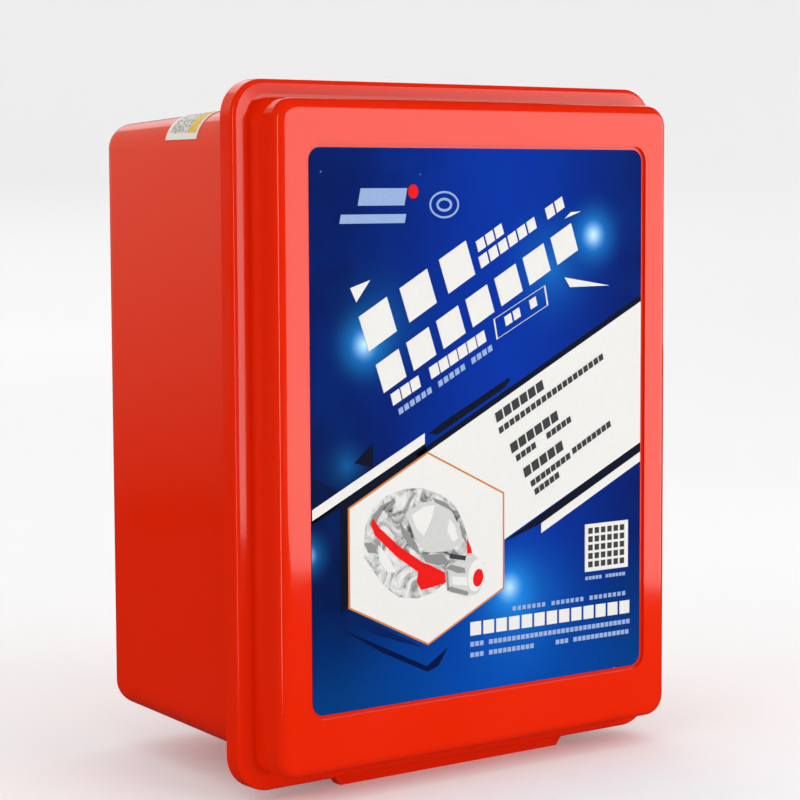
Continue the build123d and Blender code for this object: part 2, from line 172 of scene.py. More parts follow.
def make_studio():
    """Pale round cyclorama, soft lamps, and panels that give the gloss its reflections."""
    rings = [(0.6, 0.0), (1.6, 0.0), (2.1, 0.02), (2.6, 0.18), (3.0, 0.55)]
    rings += [(3.2, 1.1), (3.1, 1.8), (2.6, 2.5), (1.6, 3.0), (0.5, 3.2)]
    steps = 64
    verts = [(0, 0, 0)]
    for radius, height in rings:
        verts += [(radius * c, radius * q, height) for _, c, q in circle(steps)]
    faces = [(0, 1 + k, 1 + (k + 1) % steps) for k in range(steps)]
    for start in range(1, len(verts) - steps, steps):
        faces += joined(start, start + steps, steps)
    paper = Shader("studio_paper", (0.90, 0.90, 0.90), Roughness=0.9, Specular_IOR_Level=0.1,
                   Emission_Color=(1, 1, 1, 1), Emission_Strength=0.142)
    floor = mesh_object("studio_floor", verts, faces, paper.mat)
    floor.visible_glossy = False
    area_light("key", (0.75, -1.75, 1.25), (1.3, 1.3), 6.6)
    area_light("fill", (-1.75, -0.25, 0.85), (1.2, 1.2), 3.3)
    area_light("top", (0.0, 0.3, 2.3), (1.6, 1.6), 4.4)
    area_light("back", (0.8, 1.9, 1.2), (1.2, 1.2), 3.4)
    area_light("low", (0.05, -0.60, 0.03), (0.7, 0.05), 0.85, target=(0, -0.05, 0.03))
    faint_green = (0.90, 1.0, 0.93)
    card("front_card", (0.28, -0.40, 0.232), (0.77, 0.62), (0.75, 0.50), 2.9, -2.2,
         faint_green, (0.40, 0.31))
    card("side_card", (-0.197, 0.512, 0.28), (0.886, 0.45), (0.37, 0.56), 0.70, 0.0,
         (1.0, 0.86, 0.62), (0.0, 0.2))
    card("edge_strip", (-1.05, -0.55, 0.25), (-0.5, 0.85), (0.10, 0.9), 5.0)
    card("right_card", (0.65, 0.25, 0.30), (0.4, -0.9), (0.50, 0.45), 1.6)
    card("back_card", (0.1, 1.1, 0.75), (1, 0), (1.6, 1.0), 1.5, fade=(0.3, 0.7))
    world = bpy.data.worlds.new("world")
    bpy.context.scene.world = world
    world.use_nodes = True
    background = world.node_tree.nodes["Background"].inputs
    background["Color"].default_value = (1, 1, 1, 1)
    background["Strength"].default_value = 0.02
    bpy.context.scene.view_settings.view_transform = "Standard"


# ---- material helpers ----
class Shader:
    """A Principled material with short calls for the nodes that feed it."""

    def __init__(self, name, colour=(0.8, 0.8, 0.8), **sockets):
        self.mat = bpy.data.materials.new(name)
        self.mat.use_nodes = True
        self.tree = self.mat.node_tree
        self.bsdf = self.tree.nodes["Principled BSDF"]
        self.bsdf.inputs["Base Color"].default_value = (*colour, 1)
        for key, value in sockets.items():
            self.bsdf.inputs[key.replace("_", " ")].default_value = value
        self.coords = self.node("ShaderNodeTexCoord").outputs["Object"]

    def node(self, kind, **props):
        made = self.tree.nodes.new(kind)
        for key, value in props.items():
            setattr(made, key, value)
        return made

    def link(self, source, target):
        if isinstance(source, bpy.types.NodeSocket):
            self.tree.links.new(source, target)
        else:
            target.default_value = source

    def math(self, operation, a, b=0.0):
        made = self.node("ShaderNodeMath", operation=operation)
        self.link(a, made.inputs[0])
        self.link(b, made.inputs[1])
        return made.outputs[0]

    def mapping(self, scale=(1, 1, 1), location=(0, 0, 0), rotation=(0, 0, 0), vector=None):
        made = self.node("ShaderNodeMapping")
        self.link(vector or self.coords, made.inputs["Vector"])
        made.inputs["Scale"].default_value = scale
        made.inputs["Location"].default_value = location
        made.inputs["Rotation"].default_value = rotation
        return made.outputs[0]

    def noise(self, scale, detail=3.0, rough=0.5, vector=None, distortion=0.0):
        made = self.node("ShaderNodeTexNoise")
        self.link(vector or self.coords, made.inputs["Vector"])
        made.inputs["Scale"].default_value = scale
        made.inputs["Detail"].default_value = detail
        made.inputs["Roughness"].default_value = rough
        made.inputs["Distortion"].default_value = distortion
        return made.outputs["Fac"]

    def voronoi(self, scale, vector=None):
        made = self.node("ShaderNodeTexVoronoi")
        self.link(vector or self.coords, made.inputs["Vector"])
        made.inputs["Scale"].default_value = scale
        return made.outputs["Distance"]

    def wave(self, scale, direction, distortion=0.0):
        made = self.node("ShaderNodeTexWave", bands_direction=direction)
        self.link(self.coords, made.inputs["Vector"])
        made.inputs["Scale"].default_value = scale
        made.inputs["Distortion"].default_value = distortion
        return made.outputs["Fac"]

    def ramp(self, value, stops):
        made = self.node("ShaderNodeValToRGB")
        self.link(value, made.inputs[0])
        elements = made.color_ramp.elements
        while len(elements) < len(stops):
            elements.new(0.5)
        for element, (place, colour) in zip(elements, stops):
            element.position = place
            element.color = (*colour, 1) if len(colour) == 3 else colour
        return made.outputs["Color"]

    def map_range(self, value, low, high, to_low=0.0, to_high=1.0, smooth=False):
        made = self.node("ShaderNodeMapRange", clamp=True)
        if smooth:
            made.interpolation_type = "SMOOTHSTEP"
        self.link(value, made.inputs["Value"])
        made.inputs["From Min"].default_value = low
        made.inputs["From Max"].default_value = high
        made.inputs["To Min"].default_value = to_low
        made.inputs["To Max"].default_value = to_high
        return made.outputs["Result"]

    def mix(self, factor, a, b):
        made = self.node("ShaderNodeMix", data_type="RGBA")
        self.link(factor, made.inputs[0])
        for source, place in ((a, 6), (b, 7)):
            source = (*source, 1) if isinstance(source, tuple) and len(source) == 3 else source
            self.link(source, made.inputs[place])
        return made.outputs[2]

    def colour(self, source):
        self.link(source, self.bsdf.inputs["Base Color"])

    def tint(self, value, low, high, dark, light):
        """Colour that runs from dark to light as the value goes from low to high."""
        self.colour(self.ramp(value, [(low, dark), (high, light)]))

    def rough(self, value, low, high, smoothest, roughest):
        spread = self.map_range(value, low, high, smoothest, roughest)
        self.link(spread, self.bsdf.inputs["Roughness"])

    def bump(self, height, distance, strength, over=None):
        made = self.node("ShaderNodeBump")
        made.inputs["Distance"].default_value = distance
        made.inputs["Strength"].default_value = strength
        self.link(height, made.inputs["Height"])
        if over is not None:
            self.link(over, made.inputs["Normal"])
        self.link(made.outputs[0], self.bsdf.inputs["Normal"])
        return made.outputs[0]

    def label_place(self):
        """Coordinates in millimetres from the label's centre."""
        return self.mapping((1 / MM, 0, 1 / MM), (-LABEL_MID.x / MM, 0, -LABEL_MID.z / MM))

    def distance(self, vector, point):
        made = self.node("ShaderNodeVectorMath", operation="DISTANCE")
        self.link(vector, made.inputs[0])
        made.inputs[1].default_value = point
        return made.outputs["Value"]

    def split(self, vector=None):
        made = self.node("ShaderNodeSeparateXYZ")
        self.link(vector or self.coords, made.inputs[0])
        return made.outputs


def paint(material, *names):
    for name in names:
        NODES[name].data.materials.clear()
        NODES[name].data.materials.append(material)


# ---- the shell ----
def red_shell():
    """Gloss moulded ABS: a trace of flow marks, orange peel and handling haze."""
    s = Shader("red_shell", Roughness=0.1, IOR=1.5)
    flow = s.noise(9.0, 4.0, 0.55, s.mapping((1, 1, 0.35)))
    s.tint(flow, 0.25, 0.75, (0.785, 0.0165, 0.0004), (0.82, 0.0195, 0.0007))
    haze = s.noise(38.0, 5.0, 0.6)
    s.rough(haze, 0.35, 0.75, 0.07, 0.13)
    s.bump(s.noise(260.0, 2.0, 0.5), 0.00002, 0.25)
    return s.mat


# ---- the label ----
LABEL_LOW, LABEL_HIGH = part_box("front_label")
LABEL_MID = (LABEL_LOW + LABEL_HIGH) / 2
LABEL_HALF = ((LABEL_HIGH.x - LABEL_LOW.x) / 2 / MM, (LABEL_HIGH.z - LABEL_LOW.z) / 2 / MM)
LABEL_CORNER = 3.5
INK = 0.035                     # thickness of one printed layer
SLOPE = math.radians(26.5)      # the print's diagonal


def label_film():
    """Blue printed film: night gradient, light flares and a dusting of stars."""
    s = Shader("label_film", Roughness=0.4, Specular_IOR_Level=0.02)
    at = s.label_place()
    u, _, v = s.split(at)
    side = s.map_range(s.math("ABSOLUTE", s.math("SUBTRACT", u, 8)), 0, 60, smooth=True)
    upper = s.mix(side, (0.0005, 0.028, 0.325), (0.0004, 0.0088, 0.100))
    lower = s.mix(side, (0.0005, 0.066, 0.40), (0.0004, 0.040, 0.195))
    colour = s.mix(s.map_range(v, -36, -72), upper, lower)
    gloom = s.map_range(s.distance(at, (-62, 0, -30)), 14, 46, 0.75, 0, smooth=True)
    colour = s.mix(gloom, colour, (0.0008, 0.007, 0.048))
    streaks = s.noise(0.05, 2.0, 0.5, at)
    colour = s.mix(s.map_range(streaks, 0.4, 0.7, 0, 0.15), colour, (0.001, 0.05, 0.36))
    flares = [(40, 51, 14, 1.0), (-41, 23, 14, 1.0), (9, -47.5, 15, 1.0), (-60, -32, 10, 0.7),
              (24, 42, 24, 0.34), (-47, -9, 11, 0.25), (12, -52, 32, 0.40), (-36, 28, 24, 0.22)]
    for x, z, reach, force in flares:
        away = s.distance(at, (x, 0, z))
        near = s.map_range(away, 0, reach, 1, 0)
        halo = s.math("MULTIPLY", s.math("POWER", near, 2.6), force * 0.95)
        colour = s.mix(halo, colour, (0.02, 0.36, 0.95))
        if force > 0.6:
            core = s.math("POWER", s.map_range(away, 0, reach * 0.36, 1, 0), 2.0)
            colour = s.mix(core, colour, (0.62, 0.90, 1.0))
    dots = s.voronoi(0.075, vector=at)
    star = s.math("MULTIPLY", s.map_range(dots, 0.012, 0.034, 1, 0), 0.75)
    colour = s.mix(star, colour, (0.35, 0.62, 0.95))
    s.colour(colour)
    s.rough(s.noise(60.0, 3.0), 0.3, 0.7, 0.26, 0.36)
    s.bump(s.noise(180.0, 2.0), 0.00002, 0.15)
    return s.mat


def ink(name, colour, spread=0.06):
    """Printed colour with a faint screen grain."""
    s = Shader(name, Specular_IOR_Level=0.02)
    dark = tuple(c * (1 - spread) for c in colour)
    grain = s.noise(900.0, 2.0, 0.6)
    s.tint(grain, 0.3, 0.7, dark, colour)
    s.rough(s.noise(60.0, 3.0), 0.3, 0.7, 0.27, 0.37)
    return s.mat


def film_outline(inset, steps=8):
    """Corner-rounded outline of the film, set in by inset, in label millimetres."""
    w, h, r = LABEL_HALF[0] - inset, LABEL_HALF[1] - inset, LABEL_CORNER - inset
    points = []
    for cx, cz, start in ((w - r, h - r, 0), (-w + r, h - r, 90), (r - w, r - h, 180),
                          (w - r, r - h, 270)):
        for k in range(steps + 1):
            a = math.radians(start + 90 * k / steps)
            points.append((cx + r * math.cos(a), cz + r * math.sin(a)))
    return points


def clip(polygon, window):
    """The part of a polygon inside a convex window that runs anticlockwise."""
    for (ax, az), (bx, bz) in zip(window, window[1:] + window[:1]):
        kept = []
        for (px, pz), (qx, qz) in zip(polygon, polygon[1:] + polygon[:1]):
            dp = (bx - ax) * (pz - az) - (bz - az) * (px - ax)
            dq = (bx - ax) * (qz - az) - (bz - az) * (qx - ax)
            if dp >= 0:
                kept.append((px, pz))
            if dp * dq < 0:
                t = dp / (dp - dq)
                kept.append((px + t * (qx - px), pz + t * (qz - pz)))
        polygon = kept
        if len(polygon) < 3:
            return []
    return polygon


def bar(u, v, length, height, slope=SLOPE, lean=0.0):
    """Slanted bar whose lower left corner is at (u, v)."""
    ax, az = math.cos(slope), math.sin(slope)
    push = math.tan(math.radians(lean))
    bx, bz = -az + push * ax, ax + push * az
    return [(u, v), (u + ax * length, v + az * length),
            (u + ax * length + bx * height, v + az * length + bz * height),
            (u + bx * height, v + bz * height)]


def row(u, v, end, size, slope=SLOPE, gap=0.22, lean=10.0, breaks=()):
    """Row of plain blocks standing for a line of print, from (u, v) to a length of end."""
    made, pitch = [], size * (1 + gap)
    count = int(end / pitch)
    for k in range(count):
        if k in breaks:
            continue
        along = k * pitch
        made.append(bar(u + along * math.cos(slope), v + along * math.sin(slope),
                        size, size, slope, lean))
    return made


def print_layer(name, material, layer, polygons):
    """Polygons in label millimetres, laid on the film as one thin printed piece."""
    window = film_outline(0.15)
    face = LABEL_LOW.y
    verts, faces = [], []
    for polygon in polygons:
        cut = clip(polygon, window)
        if len(cut) < 3:
            continue
        area = sum(a[0] * b[1] - b[0] * a[1] for a, b in zip(cut, cut[1:] + cut[:1]))
        if area < 0:
            cut.reverse()
        base, n = len(verts), len(cut)
        for y in (face - layer * INK * MM, face + 0.02 * MM):
            verts += [(LABEL_MID.x + a * MM, y, LABEL_MID.z + b * MM) for a, b in cut]
        faces.append(tuple(base + k for k in range(n)))
        faces.append(tuple(base + n + k for k in reversed(range(n))))
        for k in range(n):
            m = (k + 1) % n
            faces.append((base + k, base + n + k, base + n + m, base + m))
    piece = mesh_object(name, verts, faces, material, False)
    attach(piece, "lid")


def ellipse(u, v, ru, rv, steps=28, turn=0.0):
    c, s = math.cos(math.radians(turn)), math.sin(math.radians(turn))
    around = [(ru * a, rv * b) for _, a, b in circle(steps)]
    return [(u + x * c - z * s, v + x * s + z * c) for x, z in around]


def ring(u, v, ru, rv, width, steps=32):
    outer, inner = ellipse(u, v, ru, rv, steps), ellipse(u, v, ru - width, rv - width, steps)
    return [[outer[k], outer[(k + 1) % steps], inner[(k + 1) % steps], inner[k]]
            for k in range(steps)]


def frame_line(points, width):
    """Closed line of even width just inside a convex polygon, as quads."""
    mid = [sum(p[k] for p in points) / len(points) for k in (0, 1)]
    reach = min(math.hypot(p[0] - mid[0], p[1] - mid[1]) for p in points)
    inner = [tuple(mid[k] + (p[k] - mid[k]) * (1 - width / reach) for k in (0, 1)) for p in points]
    n = len(points)
    return [[points[k], points[(k + 1) % n], inner[(k + 1) % n], inner[k]] for k in range(n)]


HEXAGON = [(-20, -7), (7, -20.3), (7, -47.4), (-20, -60.4), (-46.8, -47.4), (-46.8, -20.3)]


def make_label_print():
    white = ink("ink_white", (0.79, 0.78, 0.75), 0.025)
    pale = ink("ink_pale_blue", (0.30, 0.42, 0.68))
    black = ink("ink_navy_black", (0.004, 0.006, 0.018))
    shade = ink("ink_navy_shade", (0.0015, 0.008, 0.055))
    gloom = ink("ink_navy_gloom", (0.001, 0.016, 0.105))
    grey = ink("ink_dark_grey", (0.05, 0.05, 0.055))
    orange = ink("ink_copper", (0.62, 0.22, 0.06))
    red = ink("ink_red", (0.80, 0.012, 0.010))
    print_layer("label_shadows", black, 1, [
        [(60, 34.2), (-24, -7.4), (-22, -8.4), (60, 31)],
        [(9.5, 11.4), (7.2, 9), (-16.5, -2.6), (-19.5, -2), (-14, 1), (8.4, 11.6)],
        [(60, -8.6), (7, -34.2), (20, -30.4), (60, -11.6)],
        [(-60, -24.6), (-60, -22.2), (-21, -3.6), (-20.2, -7.2), (-46.8, -20.2), (-46.8, -46),
         (-49.2, -48.5), (-49.2, -20)],
        [(-38.3, -3.4), (-38.3, -10.2), (-44.5, -8.4)],
    ])
    print_layer("label_shade", shade, 1, [
        [(-50, -52.2), (-20.4, -66.2), (-13, -61.8), (-16.4, -66.6), (-20.2, -67.8),
         (-36, -60.4)],
        [(-60, -10.5), (-50, -15.4), (-50, -19.5), (-60, -24.4)],
    ])
    print_layer("label_gloom", gloom, 1, [
        [(-48.8, -50.2), (-46.6, -48.4), (-21, -61), (-30, -58.2), (-38, -55.4)],
    ])
    print_layer("label_bands", white, 2, [
        [(60, 32.4), (-20, -7.2), (0, -30), (7, -33.6), (60, -8.8)],
        [(60, -11.6), (20.6, -30.2), (20.6, -33), (60, -14.4)],
        [(-60, -20.7), (-20.9, -1.9), (-20.9, -4.8), (-60, -23.6)],
        [(-45.6, 38.2), (-39, 40.2), (-43.6, 34.4)],
        [(29.2, 39.2), (46.2, 36.5), (31.2, 36.4)],
        [(29.2, 55.8), (35.2, 57.8), (31.4, 57.6)],
    ])
    title = []
    for u, v, size in ((-39.6, 21.2, 10.6), (-26, 28.4, 10.6), (-12.6, 35.8, 10.6)):
        title.append(bar(u, v, size, size * 0.92, math.radians(28.6), 9))
    for k in range(7):
        title.append(bar(-34.7 + 10.2 * k, 9.8 + 5.5 * k, 8.6, 8, math.radians(28.1), 9))
    print_layer("label_title", white, 5, title)
    steep = math.radians(28.8)
    small = row(-2.1, 46.9, 12.6, 3, steep)
    small += row(-1.1, 42.4, 37, 3.2, steep, breaks=(6,))
    small += row(-31.6, 6.2, 37, 3.2, breaks=(3,), gap=0.14)
    small += row(7.7, 26.2, 15.4, 2.6, math.radians(25.6), gap=0.28, breaks=(2,))
    small += frame_line(bar(4.3, 22.6, 20.8, 5.6, math.radians(25.6), 14), 0.45)
    small += row(-5.2, -59.5, 60.4, 3.8, 0, 0.22, 0)
    print_layer("label_small_print", white, 5, small)
    faint = row(-29.5, 3.6, 38.5, 1.6, gap=0.35, breaks=(6, 12)) + ring(-14, 60, 5.1, 3.7, 0.55)
    faint += ring(-14, 60, 2.7, 1.9, 0.7)
    for u, v, end, size, gap, breaks in (
            (10, -54.1, 44.6, 1.2, 0.5, (7, 15)), (-5.2, -62.6, 60.2, 1.3, 0.28, (3,)),
            (-5.2, -65.6, 23.4, 1.3, 0.28, (3,)), (26, -65.6, 29, 1.3, 0.28, (3,)),
            (37.2, -48.2, 16.6, 1, 0.3, (5,))):
        faint += row(u, v, end, size, 0, gap, 0, breaks)
    faint += [bar(-43, 59.9, 15.4, 4.6, 0, 12), bar(-49, 55.2, 21.5, 2.4, 0, 12)]
    print_layer("label_faint_print", pale, 5, faint)
    print_layer("label_red_dot", red, 6, [ellipse(-24.6, 63.6, 1.7, 1.9)])
    notes = row(5.4, -3.8, 45, 1.7, gap=0.28)
    for u, v, end, size in (
            (4.4, -0.6, 20.4, 2.7), (9.8, -9.6, 19.8, 2.7), (11.6, -12, 9.8, 1.7),
            (22.8, -6.4, 11.4, 1.7), (14.6, -16.8, 19.4, 2.7), (17, -19.6, 17, 1.7),
            (32.4, -11.4, 17.6, 1.7), (18.4, -22, 11.6, 1.7)):
        notes += row(u, v, end, size)
    print_layer("label_dark_print", grey, 5, notes)
    print_layer("label_hexagon_edge", orange, 3, [HEXAGON])
    inner = [(p[0] * 0.978 - 20 * 0.022, p[1] * 0.978 - 33.8 * 0.022) for p in HEXAGON]
    print_layer("label_hexagon", white, 4, [inner])
    print_layer("label_square", white, 5, [
        [(37, -45.8), (53.6, -45.8), (53.6, -32), (37, -32)]])
    blocks = []
    for i in range(6):
        for j in range(5):
            x, z = 38.2 + i * 2.44, -44.6 + j * 2.44
            blocks.append([(x, z), (x + 1.7, z), (x + 1.7, z + 1.7), (x, z + 1.7)])
    print_layer("label_square_blocks", grey, 6, blocks)
    make_label_picture(white, red, grey)


def clear_hood_ink():
    """Printed picture of a clear, crumpled hood: greys with bright folds."""
    s = Shader("ink_clear_hood", Roughness=0.32, Specular_IOR_Level=0.02)
    at = s.label_place()
    folds = s.noise(0.16, 4.0, 0.62, at, 1.4)
    s.colour(s.ramp(folds, [(0.34, (0.08, 0.08, 0.08)), (0.44, (0.36, 0.36, 0.35)),
                            (0.5, (0.56, 0.56, 0.55)), (0.62, (0.76, 0.76, 0.75))]))
    return s.mat


def make_label_picture(white, red, grey):
    light = ink("ink_light_grey", (0.62, 0.62, 0.61))
    mid = ink("ink_mid_grey", (0.27, 0.27, 0.27))
    print_layer("picture_hood", clear_hood_ink(), 5, [[
        (-41.5, -29), (-41, -25.5), (-38.5, -21), (-34, -18), (-28, -16.6), (-22, -16.8),
        (-16, -19), (-10.5, -22.4), (-8, -27), (-6, -32), (-4.8, -35.6), (-7, -38), (-11, -39.5),
        (-13, -43), (-18, -46), (-24, -47), (-30, -46), (-35, -42.5), (-38.5, -38), (-41.5, -34)]])
    print_layer("picture_window", light, 6, [
        [(-27.6, -23.4), (-23, -20.8), (-17, -20.6), (-11.6, -24.2), (-8.4, -30), (-8, -33.4),
         (-14, -35), (-21, -34.6), (-24.6, -30)]])
    print_layer("picture_shine", white, 7, [
        [(-25.6, -24), (-21.5, -22), (-17.6, -21.8), (-19, -26), (-21.5, -30),
         (-23.8, -28)],
        [(-12.6, -26), (-10.8, -28), (-9.6, -31.8), (-11.4, -32.6), (-13.4, -29.5)],
        [(-37, -31), (-33.6, -34.5), (-31, -39), (-33.6, -39), (-36.6, -35.5)]])
    print_layer("picture_folds", mid, 7, [
        [(-39.8, -24.8), (-36.2, -20.6), (-33, -19.6), (-36, -22.6), (-38.6, -26.4)],
        [(-35.5, -21.5), (-31.5, -18.6), (-31, -20), (-34, -22.6)],
        [(-41.2, -30.4), (-39, -30.2), (-37, -33.4), (-40.4, -32.8)],
        [(-29.8, -25), (-27.6, -28), (-24.2, -31.6), (-22.6, -35.2), (-26.4, -32.4),
         (-29, -28.6)],
        [(-21.8, -35.2), (-15, -35.6), (-12.2, -38.4), (-16.6, -38.6), (-21, -37.2)],
        [(-18.6, -19.6), (-14, -21.4), (-10.6, -24.4), (-13.2, -23.2), (-17.4, -21.2)],
        [(-9.4, -25.8), (-7.4, -30.2), (-6.2, -34.2), (-8.2, -31.2)]])
    print_layer("picture_strap", red, 8, [
        [(-39.4, -25.2), (-38.6, -23.6), (-36.6, -26.4), (-30, -32), (-22, -37.2),
         (-19.4, -38.2), (-14.2, -40.8), (-14, -43.6), (-18.4, -44.4), (-22.4, -44.8),
         (-24, -42.4), (-23.4, -39.8), (-30.8, -34.8), (-38, -28.4)],
        [(-6.4, -32.2), (-5.2, -34.4), (-4.6, -36.4), (-6.4, -36.2)]])
    print_layer("picture_canister", light, 9, [
        [(-14, -40.4), (-9.4, -37.4), (-4.4, -36.6), (-0.4, -39.4), (-0.2, -44.2), (-2.6, -47.8),
         (-7, -48.2), (-13.4, -46)]])
    print_layer("picture_canister_shade", mid, 10, [
        [(-13.6, -39.8), (-12.2, -38.8), (-7.4, -40.2), (-7, -41.6), (-9.8, -41.4)],
        [(-13.4, -45.6), (-12.2, -46.4), (-6.4, -48), (-6, -47), (-12.4, -44.8)],
        [(-13.9, -40.5), (-13.2, -40.3), (-12.8, -45.6), (-13.4, -45.9)]])
    print_layer("picture_canister_shine", white, 10, [
        [(-11.8, -42.2), (-6.6, -42.8), (-6.4, -45.2), (-11.6, -44.4)],
        ellipse(-3.2, -42.6, 2.9, 4.6, turn=-12)])
    print_layer("picture_plug", red, 11, [ellipse(-2.6, -43.4, 1.8, 2.5, turn=-12)])
    print_layer("picture_grille", grey, 10, [bar(-12.6, -37, 5.6, 1.3, math.radians(-12), 0)])


def sticker_paper():
    """Seal: white margin, a fine grey guard pattern and a yellow block."""
    s = Shader("seal_paper", Roughness=0.45)
    low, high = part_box("seal_sticker")
    _, y, z = s.split()
    margin = 0.0016
    inside = s.math("MULTIPLY", s.map_range(y, low.y + 0.0009, low.y + 0.0011),
                    s.map_range(y, high.y - margin, high.y - margin - 0.0002))
    inside = s.math("MULTIPLY", inside, s.map_range(z, low.z + margin, low.z + margin + 0.0002))
    pattern = s.ramp(s.voronoi(1400.0), [(0.25, (0.20, 0.20, 0.19)), (0.6, (0.72, 0.71, 0.66))])
    yellow = s.ramp(s.noise(700.0, 2.0), [(0.3, (0.72, 0.42, 0.03)), (0.7, (0.85, 0.56, 0.07))])
    block = s.mix(s.map_range(y, -0.0006, -0.0009), pattern, yellow)
    s.colour(s.mix(inside, (0.80, 0.79, 0.74), block))
    s.bump(s.noise(900.0, 2.0), 0.00003, 0.4)
    return s.mat


# ---- shared mesh work ----
def add_piece(name, verts, faces, material, body="case", stands_for=(), slot=None, sharp=32.0):
    """Closed mesh with its normals out, soft over curves and crisp at edges, riding on a body."""
    piece = mesh_object(name, verts, faces, material)
    bm = bmesh.new()
    bm.from_mesh(piece.data)
    bmesh.ops.remove_doubles(bm, verts=bm.verts, dist=0.000001)
    bmesh.ops.recalc_face_normals(bm, faces=bm.faces)
    bm.to_mesh(piece.data)
    bm.free()
    piece.data.shade_smooth()
    piece.data.set_sharp_from_angle(angle=math.radians(sharp))
    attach(piece, body)
    if stands_for:
        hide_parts(*stands_for)
    return piece


def lathe(name, profile, centre_z, material, steps=96, **said):
    """Turned part about a front-to-back axis: a closed loop of (depth, radius) in millimetres."""
    verts, faces, n = [], [], len(profile)
    for _, c, q in circle(steps):
        verts += [(r * c * MM, y * MM, (centre_z + r * q) * MM) for y, r in profile]
    for k in range(steps):
        faces += joined((k + 1) % steps * n, k * n, n)
    return add_piece(name, verts, faces, material, **said)


def capsule(a, b, radius, sides=6):
    """Short rounded stitch between two points: verts and faces."""
    a, b = Vector(a), Vector(b)
    along = (b - a).normalized()
    side = along.orthogonal().normalized()
    up = along.cross(side)
    verts, faces = [], []
    stations = [(-1.0, 0.0), (-0.75, 0.66), (0.0, 1.0), (1.0, 1.0), (1.75, 0.66), (2.0, 0.0)]
    length = (b - a).length
    for place, grow in stations:
        if place <= 0:
            at = a + along * place * radius
        elif place == 1.0:
            at = b
        else:
            at = b + along * (place - 1.0) * radius
        if grow == 0.0:
            verts.append(at)
            continue
        verts += [at + (side * c + up * q) * radius * grow for _, c, q in circle(sides)]
    last = len(verts) - 1
    for k in range(sides):
        m = (k + 1) % sides
        faces.append((0, 1 + m, 1 + k))
        faces.append((1 + 3 * sides + k, 1 + 3 * sides + m, last))
    for band in range(3):
        faces += joined(1 + (band + 1) * sides, 1 + band * sides, sides)
    return verts, faces


def stitches(name, runs, material, length=2.1, gap=1.0, radius=0.22, **said):
    """Rows of thread stitches along polylines given in millimetres."""
    verts, faces = [], []
    for run in runs:
        points = [Vector(p) for p in run]
        carried = gap / 2
        for a, b in zip(points, points[1:]):
            span = (b - a).length
            t = carried
            while t + length <= span + 0.4:
                start, end = a.lerp(b, t / span), a.lerp(b, min((t + length) / span, 1.0))
                new, made = capsule(start * MM, end * MM, radius * MM)
                base = len(verts)
                verts += new
                faces += [tuple(base + i for i in f) for f in made]
                t += length + gap
            carried = max(t - span, 0.0)
    return add_piece(name, verts, faces, material, sharp=80.0, **said)


# ---- interior materials ----
def tin_plate():
    s = Shader("tin_plate", Metallic=1.0, Roughness=0.25)
    streak = s.noise(120.0, 4.0, 0.6, s.mapping((1, 14, 1)))
    s.tint(streak, 0.3, 0.7, (0.62, 0.63, 0.65), (0.80, 0.81, 0.82))
    s.rough(s.noise(45.0, 5.0, 0.65), 0.3, 0.75, 0.16, 0.38)
    s.bump(streak, 0.00002, 0.3)
    return s.mat


def screen_steel():
    s = Shader("screen_steel", Metallic=1.0, Roughness=0.4)
    streak = s.noise(300.0, 3.0, 0.6, s.mapping((6, 1, 0.3)))
    s.tint(streak, 0.3, 0.7, (0.40, 0.41, 0.42), (0.58, 0.59, 0.60))
    s.rough(streak, 0.3, 0.7, 0.3, 0.5)
    s.bump(streak, 0.00002, 0.4)
    return s.mat


def fibre_paper():
    s = Shader("fibre_paper", Roughness=0.9)
    fibre = s.noise(1500.0, 4.0, 0.7, s.mapping((1, 1, 0.25)))
    s.tint(fibre, 0.3, 0.7, (0.70, 0.70, 0.64), (0.87, 0.87, 0.83))
    s.bump(fibre, 0.00008, 0.6)
    return s.mat


def granules(name, dark, light, scale):
    s = Shader(name, Roughness=0.75)
    grain = s.voronoi(scale)
    tone = s.noise(scale * 0.6, 3.0)
    s.tint(tone, 0.35, 0.7, dark, light)
    s.rough(tone, 0.3, 0.7, 0.55, 0.9)
    s.bump(s.math("SUBTRACT", 1.0, grain), 0.0005, 0.7)
    return s.mat


def moulded(name, dark, light, roughness, bump=0.00004, **sockets):
    """Satin moulded plastic or rubber with a fine spark-eroded grain."""
    s = Shader(name, Roughness=roughness, **sockets)
    cloud = s.noise(35.0, 4.0, 0.55)
    s.tint(cloud, 0.3, 0.7, dark, light)
    s.rough(cloud, 0.3, 0.7, roughness - 0.07, roughness + 0.08)
    s.bump(s.noise(1800.0, 3.0, 0.6), bump, 0.5)
    return s.mat


def aluminised_fabric():
    """Metal-coated hood cloth: bright, with sharp handling creases and a fine weave."""
    s = Shader("aluminised_fabric", Metallic=0.88, Roughness=0.34)
    warped = s.mapping((1, 1.2, 0.7), rotation=(0.3, 0.2, 0.5))
    ridge = s.math("ABSOLUTE", s.math("SUBTRACT", s.noise(46.0, 2.0, 0.5, warped, 1.6), 0.5))
    small = s.math("ABSOLUTE", s.math("SUBTRACT", s.noise(130.0, 2.0, 0.5, warped, 0.8), 0.5))
    fine = s.noise(520.0, 4.0, 0.6)
    tone = s.noise(60.0, 4.0, 0.6)
    s.tint(tone, 0.3, 0.7, (0.55, 0.56, 0.58), (0.80, 0.81, 0.83))
    s.rough(tone, 0.3, 0.7, 0.26, 0.44)
    sharp = s.map_range(ridge, 0.0, 0.07, smooth=True)
    crisp = s.map_range(small, 0.0, 0.06, smooth=True)
    first = s.bump(s.math("ADD", sharp, s.math("MULTIPLY", crisp, 0.35)), 0.0008, 0.6)
    s.bump(s.math("ADD", fine, s.math("MULTIPLY", s.wave(520.0, "Z"), 0.15)), 0.0001, 0.4, first)
    return s.mat


